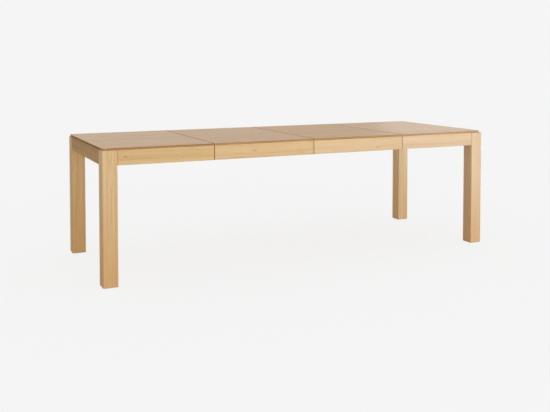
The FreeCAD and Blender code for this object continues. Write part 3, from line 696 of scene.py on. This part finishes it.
beech = {}
for grain, turn in GRAIN_TURN.items():
    material, recipe, shader = new_material(f"beech_along_{grain.lower()}")
    place = recipe.add("ShaderNodeTexCoord").outputs["Object"]
    timber = recipe.add("ShaderNodeMapping", {"vector_type": "TEXTURE"}, Vector=place,
                        Rotation=turn).outputs["Vector"]
    figure = use_group(recipe, "beech_figure", Vector=timber, Pale=BEECH_PALE, Rose=BEECH_ROSE,
                       Dash=BEECH_DASH)
    bump = recipe.add("ShaderNodeBump", Strength=SAW_MARK_BUMP, Distance=SAW_MARK_DEPTH,
                      Height=figure["Height"])
    rough = use_group(recipe, "satin_lacquer", Vector=timber, **BEECH_PLANED)["Roughness"]
    recipe.surface(shader, figure["Color"], rough, bump)
    shader.inputs["Specular IOR Level"].default_value = BEECH_SHINE
    beech[grain] = material

BEECH_ACROSS = ("_seam_batten", "_seam_battens", "runner_ties", "_corner_blocks")
BEECH_ALONG = ("_runner", "runner_tongues", "_apron_battens", "_skirt_battens")
for name, part in nodes.items():
    if name.endswith(BEECH_ACROSS):
        part.material_slots[0].material = beech["Y"]
    elif name.endswith(BEECH_ALONG):
        part.material_slots[0].material = beech["X"]
print("beech finishes:", len(beech))

# %% [markdown]
# ## Zinc on steel
# Screws, bolts, stop plates and latches are zinc plated. The plating is a skin of small crystals that
# catch the light differently, over fine marks from stamping and turning. Crystals are Voronoi cells, each
# with its own brightness; the marks are noise drawn out along one axis.

# %% Zinc plating
ZINC_CRYSTALS_PER_METRE = 520.0
ZINC_MARKS = (2400.0, 2400.0, 150.0)
ZINC_BRIGHT = linear(206, 207, 205)
ZINC_DULL = linear(166, 166, 160)
ZINC_MARK_DEPTH = 0.00005
ZINC_MARK_BUMP = 0.25
ZINC_MARK_SHARE = 0.5
ZINC_CRYSTAL_SHARE = 0.5
ZINC_SMOOTH = 0.26
ZINC_ROUGH_SPREAD = 0.2

recipe, given, result = new_group(
    "zinc_skin", {"Vector": "Vector", "Bright": "Color", "Dull": "Color"},
    {"Color": "Color", "Roughness": "Float", "Height": "Float"})
cells = recipe.add("ShaderNodeTexVoronoi", Vector=given["Vector"], Scale=ZINC_CRYSTALS_PER_METRE)
tone = recipe.split(cells.outputs["Color"])["X"]
marks = recipe.noise(given["Vector"], ZINC_MARKS, detail=2.0)
crystals = recipe.sum("MULTIPLY", tone, ZINC_CRYSTAL_SHARE)
share = recipe.sum("MULTIPLY_ADD", marks, ZINC_MARK_SHARE, crystals)
recipe.fill(result["Color"], recipe.mix(share, given["Bright"], given["Dull"]))
recipe.fill(result["Roughness"], recipe.sum("MULTIPLY_ADD", share, ZINC_ROUGH_SPREAD, ZINC_SMOOTH))
recipe.fill(result["Height"], marks)

zinc, recipe, shader = new_material("zinc_plating")
place = recipe.add("ShaderNodeTexCoord").outputs["Object"]
skin = use_group(recipe, "zinc_skin", Vector=place, Bright=ZINC_BRIGHT, Dull=ZINC_DULL)
bump = recipe.add("ShaderNodeBump", Strength=ZINC_MARK_BUMP, Distance=ZINC_MARK_DEPTH,
                  Height=skin["Height"])
recipe.surface(shader, skin["Color"], skin["Roughness"], bump)
shader.inputs["Metallic"].default_value = 1.0
ZINC_NODES = ("_latch", "_runner_stops")
for name, part in nodes.items():
    if name.endswith(ZINC_NODES):
        part.material_slots[0].material = zinc
print("zinc plating on", sum(name.endswith(ZINC_NODES) for name in nodes), "construction pieces")

# %% [markdown]
# ## Turned pieces
# Screws, studs, pegs, bolts and glides are all turned on an axis. Spinning a profile by hand, once for
# each of them, would be slow, so one function makes any number of copies at once from a grid: one
# direction of the grid runs along the profile, the other round the axis. Because radius and height are
# given for every point of the grid, a driver recess, a flute or a thread is only a small change in those
# numbers. Where each piece goes is read from the construction model, in which every screw is a separate
# solid.

# %% Find the separate solids of a node, and turn copies of a profile
SHARP_ANGLE = math.radians(38)
UPRIGHT_LIMIT = 0.9
PLACE_DIGITS = 6
body_of_node = {node: body for body, held in frame["record"]["behaviour"]["bodies"].items() for node in held}


def solids_of(node):
    """The corner points of each separate solid: triangles pass their lowest label on until none changes."""
    mesh = nodes[node].data
    mesh.calc_loop_triangles()
    points = np.empty(len(mesh.vertices) * 3)
    mesh.vertices.foreach_get("co", points)
    corners = np.empty(len(mesh.loop_triangles) * 3, int)
    mesh.loop_triangles.foreach_get("vertices", corners)
    places, spot = np.unique(points.reshape(-1, 3).round(PLACE_DIGITS), axis=0, return_inverse=True)
    triangles = spot.ravel()[corners].reshape(-1, 3)
    label = np.arange(len(places))
    while True:
        lowest = label.copy()
        np.minimum.at(lowest, triangles, label[triangles].min(axis=1, keepdims=True))
        if np.array_equal(lowest, label):
            return [places[label == value] for value in np.unique(label)]
        label = lowest


def turned_mesh(name, starts, axes, radius, height, ring=False):
    """Copies of one turned shape: start + height along the axis + radius round it, for every grid point.

    A ring joins its last row to its first; any other shape is closed by a flat face at both ends.
    """
    radius, height = np.broadcast_arrays(radius, height)
    rows, around = radius.shape
    starts, axes = np.asarray(starts, float), np.asarray(axes, float)
    upright = np.abs(axes[:, 2:]) > UPRIGHT_LIMIT
    side = np.cross(axes, np.where(upright, (1.0, 0, 0), (0, 0, 1.0)))
    side /= np.linalg.norm(side, axis=1, keepdims=True)
    upper = np.cross(axes, side)
    angle = np.linspace(0, 2 * np.pi, around, endpoint=False)[None, None, :, None]
    spoke = np.cos(angle) * side[:, None, None, :] + np.sin(angle) * upper[:, None, None, :]
    points = starts[:, None, None, :] + height[None, :, :, None] * axes[:, None, None, :]
    points = points + radius[None, :, :, None] * spoke
    index = np.arange(len(starts) * rows * around).reshape(-1, rows, around)
    ends = np.concatenate((index[:, 0, ::-1], index[:, -1]))
    if ring:
        index = np.concatenate((index, index[:, :1]), axis=1)
    ahead = np.roll(index, -1, axis=2)
    quads = np.stack((index[:, :-1], ahead[:, :-1], ahead[:, 1:], index[:, 1:]), axis=-1).reshape(-1, 4)
    caps = [] if ring else ends.tolist()
    mesh = bpy.data.meshes.new(name)
    mesh.from_pydata(points.reshape(-1, 3).tolist(), [], quads.tolist() + caps)
    mesh.shade_smooth()
    mesh.set_sharp_from_angle(angle=SHARP_ANGLE)
    return mesh


def add_piece(name, mesh, material, node):
    """Shows a mesh in place of a construction node, riding on the same part of the table."""
    mesh.materials.append(material)
    piece = bpy.data.objects.new(name, mesh)
    scene.collection.objects.link(piece)
    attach(piece, body_of_node[node])
    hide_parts(node)


def spin(profile, around):
    """A profile of radius and height pairs, repeated round the axis."""
    profile = np.array(profile, float)
    return tuple(np.repeat(part[:, None], around, axis=1) for part in profile.T)


print("turning ready")

# %% [markdown]
# ### Countersunk screws
# A wood screw shows only its flat head, with the cross that the driver bites in. On the grid, the cross is
# the set of points that lie in four narrow sectors and within three quarters of the head's radius: those
# points are pushed down, and everything else of the head stays flat.

# %% Screws with a cross recess
SCREW_AROUND = 16
SCREW_RADIUS = 0.002
SCREW_HEAD_RADIUS = 0.004
SCREW_HEAD_HEIGHT = 0.0025
SCREW_TIP_LENGTH = 0.004
SCREW_LENGTH_STEP = 0.0005
RECESS_DEPTH = 0.0016
RECESS_RADIUS_SHARES = (0.1, 0.34, 0.66, 0.8)
RECESS_DEPTH_SHARES = (1.0, 0.9, 0.6, 0.0)
RECESS_ARMS = 4


def recessed_rows(head_radius):
    """Rows of a head face with a cross recess: points in the four arms are sunk, and so is the middle."""
    arm = np.arange(SCREW_AROUND) * RECESS_ARMS % SCREW_AROUND == 0
    dip = np.array(RECESS_DEPTH_SHARES)[:, None] * RECESS_DEPTH
    middle = np.arange(len(RECESS_DEPTH_SHARES))[:, None] == 0
    radius = np.array(RECESS_RADIUS_SHARES)[:, None] * np.full(SCREW_AROUND, head_radius)
    return radius, dip * (arm | middle)


def screw_shape(length):
    """Recessed head, rim, cone, shank and point, from the head face inwards."""
    head_radius, head_height = recessed_rows(SCREW_HEAD_RADIUS)
    rest = [(SCREW_HEAD_RADIUS, 0), (SCREW_RADIUS, SCREW_HEAD_HEIGHT),
            (SCREW_RADIUS, length - SCREW_TIP_LENGTH), (SCREW_RADIUS / SCREW_AROUND, length)]
    rest_radius, rest_height = spin(rest, SCREW_AROUND)
    return np.concatenate((head_radius, rest_radius)), np.concatenate((head_height, rest_height))


def screw_place(points):
    """Head middle, inward axis and length of one screw solid, found from its box and its wide end."""
    low, high = points.min(axis=0), points.max(axis=0)
    along = np.argmax(high - low)
    middle = (low + high) / 2
    spread = np.abs(points - middle)
    spread[:, along] = 0
    wide = points[np.argmax(spread.max(axis=1)), along]
    sign = 1.0 if wide < middle[along] else -1.0
    axis = np.eye(3)[along] * sign
    head = middle - axis * (high - low)[along] / 2
    return head, axis, (high - low)[along]


for node in [name for name in nodes if name.endswith("_screws")]:
    heads, axes, lengths = zip(*[screw_place(points) for points in solids_of(node)])
    steps = (np.array(lengths) / SCREW_LENGTH_STEP).round() * SCREW_LENGTH_STEP
    for number, length in enumerate(np.unique(steps), start=1):
        chosen = steps == length
        mesh = turned_mesh(f"{node}_crossed_{number}", np.array(heads)[chosen], np.array(axes)[chosen],
                           *screw_shape(length))
        add_piece(mesh.name, mesh, zinc, node)
    print(node, len(heads), "screws,", number, "lengths")

# %% [markdown]
# ### Leg bolts
# Each leg hangs on two threaded studs that pass through the corner block and are drawn tight by a nut on a
# washer. A thread is a radius that falls and rises once per pitch while the angle goes round once, so on
# the grid it needs no sweeping along a spiral. A nut is a hexagon, whose corners are cut back by a cone
# at both faces: at each point the smaller of the two radii is taken.

# %% Studs, washers and nuts
BOLT_AROUND = 16
THREAD_PITCH = 0.00125
THREAD_DEPTH = 0.0007
THREAD_ROWS = 4
BOLT_RADIUS = 0.004
BOLT_END_TAPER = 0.0012
WASHER_AROUND = 40
WASHER_EDGE = 0.0003
NUT_AROUND = 48
NUT_SIDES = 6
NUT_FLAT = 0.0065
NUT_CHAMFER = 0.0009
NUT_FACE_SHARE = 0.97
BORE_RADIUS = 0.00405


def bolt_shape(length):
    """A rod whose radius drops in a triangle wave of height and turn, tapered at its ends."""
    height = np.linspace(0, length, int(length / THREAD_PITCH * THREAD_ROWS) + 1)[:, None]
    turn = np.arange(BOLT_AROUND)[None, :] / BOLT_AROUND
    wave = np.abs((height / THREAD_PITCH - turn) % 1.0 * 2.0 - 1.0)
    to_end = np.clip(np.minimum(height, length - height) / BOLT_END_TAPER, 0, 1)
    return BOLT_RADIUS - THREAD_DEPTH * np.maximum(wave, 1.0 - to_end), height


def washer_shape(radius, length):
    """A flat ring with eased outer edges, as a closed loop of radius and height."""
    loop = [(BORE_RADIUS, 0), (radius - WASHER_EDGE, 0), (radius, WASHER_EDGE),
            (radius, length - WASHER_EDGE), (radius - WASHER_EDGE, length), (BORE_RADIUS, length)]
    return spin(loop, WASHER_AROUND)


def nut_shape(length):
    """A hexagon, the flat distance over the cosine of the angle from the nearest flat, cut by two cones."""
    part = 2 * np.pi / NUT_SIDES
    angle = np.linspace(0, 2 * np.pi, NUT_AROUND, endpoint=False)
    hexagon = NUT_FLAT / np.cos((angle + part / 2) % part - part / 2)
    face = np.minimum(hexagon, NUT_FLAT * NUT_FACE_SHARE)
    bore = np.full(NUT_AROUND, BORE_RADIUS)
    radius = np.stack((bore, face, hexagon, hexagon, face, bore))
    height = np.array((0, 0, NUT_CHAMFER, length - NUT_CHAMFER, length, length))[:, None]
    return radius, height


def place_along(points, axis):
    """Start, axis and length of a solid that lies along a known axis."""
    reach = points @ axis
    middle = (points.min(axis=0) + points.max(axis=0)) / 2
    return middle - axis * np.ptp(reach) / 2, axis, np.ptp(reach)


LEAST_WIDTHS = {"washers": 0.016, "nuts": 0.012, "studs": 0.0}
for node in [name for name in nodes if name.endswith("_leg_bolts")]:
    found = {"studs": [], "washers": [], "nuts": []}
    for points in solids_of(node):
        outward = np.sign(points.mean(axis=0)) * (1.0, 1.0, 0)
        wide = np.ptp(points[:, 2])
        kind = next(name for name, least in LEAST_WIDTHS.items() if wide > least)
        found[kind].append((*place_along(points, outward / np.linalg.norm(outward)), wide))
    for kind, placed in found.items():
        starts, axes, lengths, widths = zip(*placed)
        if kind == "studs":
            shape = bolt_shape(lengths[0])
        elif kind == "nuts":
            shape = nut_shape(lengths[0])
        else:
            shape = washer_shape(widths[0] / 2, lengths[0])
        mesh = turned_mesh(f"{node}_{kind}", starts, axes, *shape, ring=kind != "studs")
        add_piece(mesh.name, mesh, zinc, node)
    print(node, {kind: len(placed) for kind, placed in found.items()})

# %% [markdown]
# ### Latch studs
# The latches swing on studs and hook round studs, driven up into the battens beside each seam. They are
# turned steel with a low domed head and the same cross recess as the screws, so the head rows of the
# screw are used again with a rounder rim.

# %% Domed studs
STUD_HEAD_RADIUS = 0.006
STUD_HEAD_HEIGHT = 0.003
STUD_RADIUS = 0.003
STUD_TIP = 0.0015
DOME_SHARES = ((0.9, 0.1), (0.97, 0.2), (1.0, 0.4), (1.0, 0.92), (0.95, 1.0))


def stud_shape(length):
    """Recessed head, rounded rim and plain shank, from the underside of the head upwards."""
    head_radius, head_height = recessed_rows(STUD_HEAD_RADIUS)
    rim = [(share * STUD_HEAD_RADIUS, rise * STUD_HEAD_HEIGHT) for share, rise in DOME_SHARES]
    shank = [(STUD_RADIUS, STUD_HEAD_HEIGHT), (STUD_RADIUS, length - STUD_TIP), (STUD_RADIUS / 2, length)]
    rim_radius, rim_height = spin(rim + shank, SCREW_AROUND)
    return np.concatenate((head_radius, rim_radius)), np.concatenate((head_height, rim_height))


UPWARD = np.array((0, 0, 1.0))
STUD_NODES = ("_latch_pivots", "_latch_keepers", "_latch_studs")
for node in [name for name in nodes if name.endswith(STUD_NODES)]:
    starts, axes, lengths = zip(*[place_along(points, UPWARD) for points in solids_of(node)])
    depths = np.array(lengths).round(PLACE_DIGITS)
    for number, depth in enumerate(np.unique(depths), start=1):
        chosen = depths == depth
        mesh = turned_mesh(f"{node}_turned_{number}", np.array(starts)[chosen], np.array(axes)[chosen],
                           *stud_shape(depth))
        add_piece(mesh.name, mesh, zinc, node)
    print(node, len(starts), "studs")

# %% [markdown]
# ### Fluted pegs
# The pegs under the leaves are ordinary fluted dowels. The flutes let the glue out; on the grid they are a
# cosine round the axis, and the last rows draw in to the chamfer that helps the peg find its socket.

# %% Pegs
PEG_RADIUS = 0.005
PEG_FLUTES = 18
PEG_AROUND = PEG_FLUTES * 4
PEG_FLUTE_DEPTH = 0.0003
PEG_CHAMFER = 0.0012
PEG_END_SHARE = 0.78


def peg_shape(length):
    """A rod less a cosine of the flutes round the axis, drawn in at both ends."""
    angle = np.linspace(0, 2 * np.pi, PEG_AROUND, endpoint=False)
    fluted = PEG_RADIUS - PEG_FLUTE_DEPTH * (1 - np.cos(PEG_FLUTES * angle)) / 2
    radius = np.array((PEG_END_SHARE, 1.0, 1.0, PEG_END_SHARE))[:, None] * fluted
    return radius, np.array((0, PEG_CHAMFER, length - PEG_CHAMFER, length))[:, None]


for node in [name for name in nodes if name.endswith("_pegs")]:
    starts, axes, lengths = zip(*[place_along(points, UPWARD) for points in solids_of(node)])
    mesh = turned_mesh(f"{node}_fluted", starts, axes, *peg_shape(lengths[0]))
    add_piece(mesh.name, mesh, beech["Z"], node)
    print(node, len(starts), "pegs")

# %% [markdown]
# ### Foot glides
# Under each leg sits a nylon glide: a moulded button with a rounded edge and a slightly hollow sole, held
# by its pin. Nylon is a little translucent and waxy; here it is a dark brown with faint moulding mottle,
# scuffed paler where it has slid over floors.

# %% Glides
GLIDE_AROUND = 48
GLIDE_RADIUS = 0.018
GLIDE_PIN_RADIUS = 0.0025
GLIDE_HEIGHT = 0.003
GLIDE_PROFILE_SHARES = ((0.15, 0.2), (0.5, 0.08), (0.72, 0), (0.86, 0), (0.95, 0.14),
                        (0.99, 0.34), (1.0, 0.55), (1.0, 0.9), (0.98, 1.0))
NYLON_BROWN = linear(92, 70, 52)
NYLON_SCUFF = linear(140, 118, 98)
NYLON_MOTTLE_PER_METRE = 300.0
NYLON_SCUFFS = (700.0, 90.0, 90.0)
NYLON_SCUFF_EDGES = (0.55, 0.75)
NYLON_MOTTLE_SHARE = 0.25
NYLON_SCUFF_SHARE = 0.6
NYLON_SMOOTH = 0.38
NYLON_ROUGH_SPREAD = 0.25

recipe, given, result = new_group(
    "moulded_nylon", {"Vector": "Vector", "Brown": "Color", "Scuff": "Color"},
    {"Color": "Color", "Roughness": "Float"})
mottle = recipe.noise(given["Vector"], (NYLON_MOTTLE_PER_METRE,) * 3, detail=3.0)
scuff = recipe.rise(recipe.noise(given["Vector"], NYLON_SCUFFS, detail=3.0), *NYLON_SCUFF_EDGES)
share = recipe.sum("MULTIPLY_ADD", mottle, NYLON_MOTTLE_SHARE,
                   recipe.sum("MULTIPLY", scuff, NYLON_SCUFF_SHARE))
recipe.fill(result["Color"], recipe.mix(share, given["Brown"], given["Scuff"]))
recipe.fill(result["Roughness"], recipe.sum("MULTIPLY_ADD", scuff, NYLON_ROUGH_SPREAD, NYLON_SMOOTH))

nylon, recipe, shader = new_material("brown_nylon")
place = recipe.add("ShaderNodeTexCoord").outputs["Object"]
skin = use_group(recipe, "moulded_nylon", Vector=place, Brown=NYLON_BROWN, Scuff=NYLON_SCUFF)
recipe.surface(shader, skin["Color"], skin["Roughness"])

for node in [name for name in nodes if name.endswith("_foot_glides")]:
    starts, axes, lengths = zip(*[place_along(points, UPWARD) for points in solids_of(node)])
    sole = [(share * GLIDE_RADIUS, rise * GLIDE_HEIGHT) for share, rise in GLIDE_PROFILE_SHARES]
    pin = [(GLIDE_PIN_RADIUS, GLIDE_HEIGHT), (GLIDE_PIN_RADIUS, lengths[0] - GLIDE_HEIGHT),
           (GLIDE_PIN_RADIUS / 2, lengths[0])]
    mesh = turned_mesh(f"{node}_moulded", starts, axes, *spin(sole + pin, GLIDE_AROUND))
    add_piece(mesh.name, mesh, nylon, node)
    print(node, len(starts), "glides")
